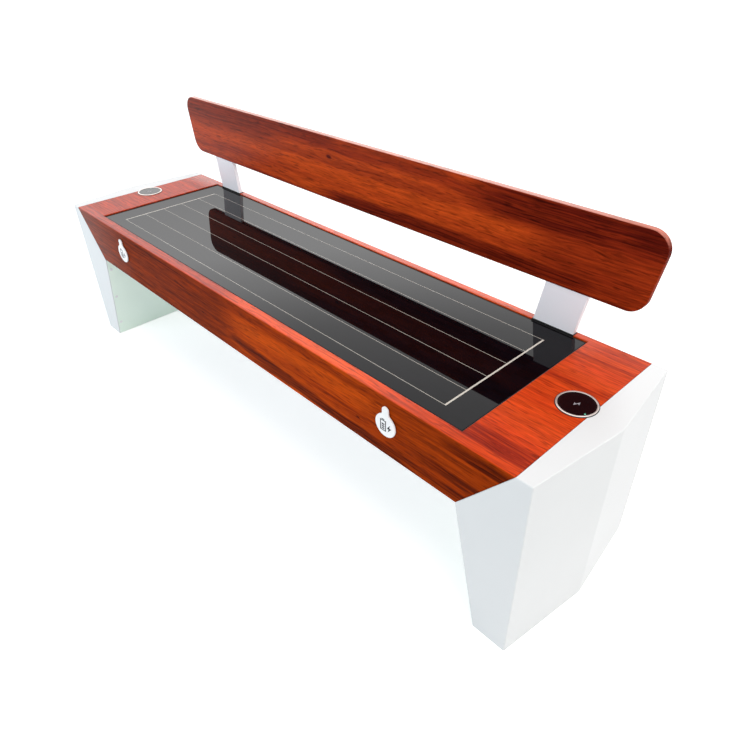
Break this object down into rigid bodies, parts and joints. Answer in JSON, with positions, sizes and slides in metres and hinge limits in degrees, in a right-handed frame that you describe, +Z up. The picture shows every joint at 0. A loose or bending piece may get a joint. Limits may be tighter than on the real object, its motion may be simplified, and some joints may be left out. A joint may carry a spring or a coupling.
{
  "type": "solar charging bench",
  "caption": "Public bench with a glass-covered solar panel in the seat, slanted steel legs, a low backrest, wireless charging pads and USB sockets under swinging covers.",
  "frame": {"origin": "on the floor under the middle of the seat", "axes": "+X along the seat to the sitter's left, the right-hand end seen from the front, +Y towards the backrest, +Z up"},
  "size_m": [1.812, 0.4548, 0.718],
  "materials": {
    "wood_grain_finish": "heat-transferred wood grain under clear powder coat, satin",
    "white_powder_coat": "white powder coat, satin",
    "galvanised_steel": "galvanised, dull",
    "zinc_plated_steel": "zinc plated",
    "stainless_steel": "stainless, fine turned",
    "toughened_glass": "clear toughened, glossy",
    "solar_cell": "near-black silicon",
    "tinned_ribbon": "tinned ribbon",
    "black_composite_sheet": "black coated composite sheet",
    "black_rubber": "EPDM, matt",
    "black_moulding": "moulded, fine texture",
    "polished_ring": "polished",
    "black_gloss_pad": "gloss black",
    "enamelled_copper": "enamelled copper winding",
    "green_light": "translucent green",
    "white_moulding": "moulded white",
    "white_pin": "white painted steel",
    "battery_case": "moulded case",
    "controller_case": "anodised case",
    "lead_sheath": "black sheath"
  },
  "bodies": {
    "bench": {"backrest_bolts": "stainless_steel", "backrest_front_shell": "wood_grain_finish", "backrest_rear_cover": "wood_grain_finish", "backrest_rivets": "stainless_steel", "backrest_stiffeners": "galvanised_steel", "backrest_strut_left": "white_powder_coat", "backrest_strut_right": "white_powder_coat", "battery_lead": "lead_sheath", "battery_pack": "battery_case", "battery_straps": "galvanised_steel", "bottom_tray_screws": "zinc_plated_steel", "cable_clips": "black_moulding", "cell_ribbons": "tinned_ribbon", "charge_controller": "controller_case", "charger_leads": "lead_sheath", "charger_left_coil": "enamelled_copper", "charger_left_housing": "black_moulding", "charger_left_light": "green_light", "charger_left_lock_nut": "black_moulding", "charger_left_pad": "black_gloss_pad", "charger_left_ring": "polished_ring", "charger_right_coil": "enamelled_copper", "charger_right_housing": "black_moulding", "charger_right_light": "green_light", "charger_right_lock_nut": "black_moulding", "charger_right_pad": "black_gloss_pad", "charger_right_ring": "polished_ring", "frame_bolts": "zinc_plated_steel", "glass_gasket": "black_rubber", "leg_left_base_plate": "galvanised_steel", "leg_left_cross_plate": "galvanised_steel", "leg_left_inner_panel": "white_powder_coat", "leg_left_shell": "white_powder_coat", "leg_panel_screws": "zinc_plated_steel", "leg_right_base_plate": "galvanised_steel", "leg_right_cross_plate": "galvanised_steel", "leg_right_inner_panel": "white_powder_coat", "leg_right_shell": "white_powder_coat", "seat_bottom_tray": "galvanised_steel", "seat_cover": "wood_grain_finish", "seat_cross_members": "galvanised_steel", "seat_front_rail": "galvanised_steel", "seat_rear_rail": "galvanised_steel", "solar_base_panel": "black_composite_sheet", "solar_cell_strips": "solar_cell", "solar_glass": "toughened_glass", "solar_junction_box": "black_moulding", "solar_lead": "lead_sheath", "strut_bolts": "zinc_plated_steel", "usb_leads": "lead_sheath", "usb_left_bezel": "black_moulding", "usb_left_hinge_pin": "white_pin", "usb_left_lock_nut": "black_moulding", "usb_left_ports": "black_moulding", "usb_right_bezel": "black_moulding", "usb_right_hinge_pin": "white_pin", "usb_right_lock_nut": "black_moulding", "usb_right_ports": "black_moulding"},
    "usb_left_cover": {"usb_left_cover": "white_moulding"},
    "usb_right_cover": {"usb_right_cover": "white_moulding"}
  },
  "joints": [
    {"name": "usb_left_cover_swing", "type": "hinge", "parent": "bench", "child": "usb_left_cover", "pos_m": [-0.553, -0.2283, 0.421], "axis": [0, 1, 0], "range_deg": [-90, 90]},
    {"name": "usb_right_cover_swing", "type": "hinge", "parent": "bench", "child": "usb_right_cover", "pos_m": [0.553, -0.2283, 0.421], "axis": [0, 1, 0], "range_deg": [-90, 90]}
  ]
}
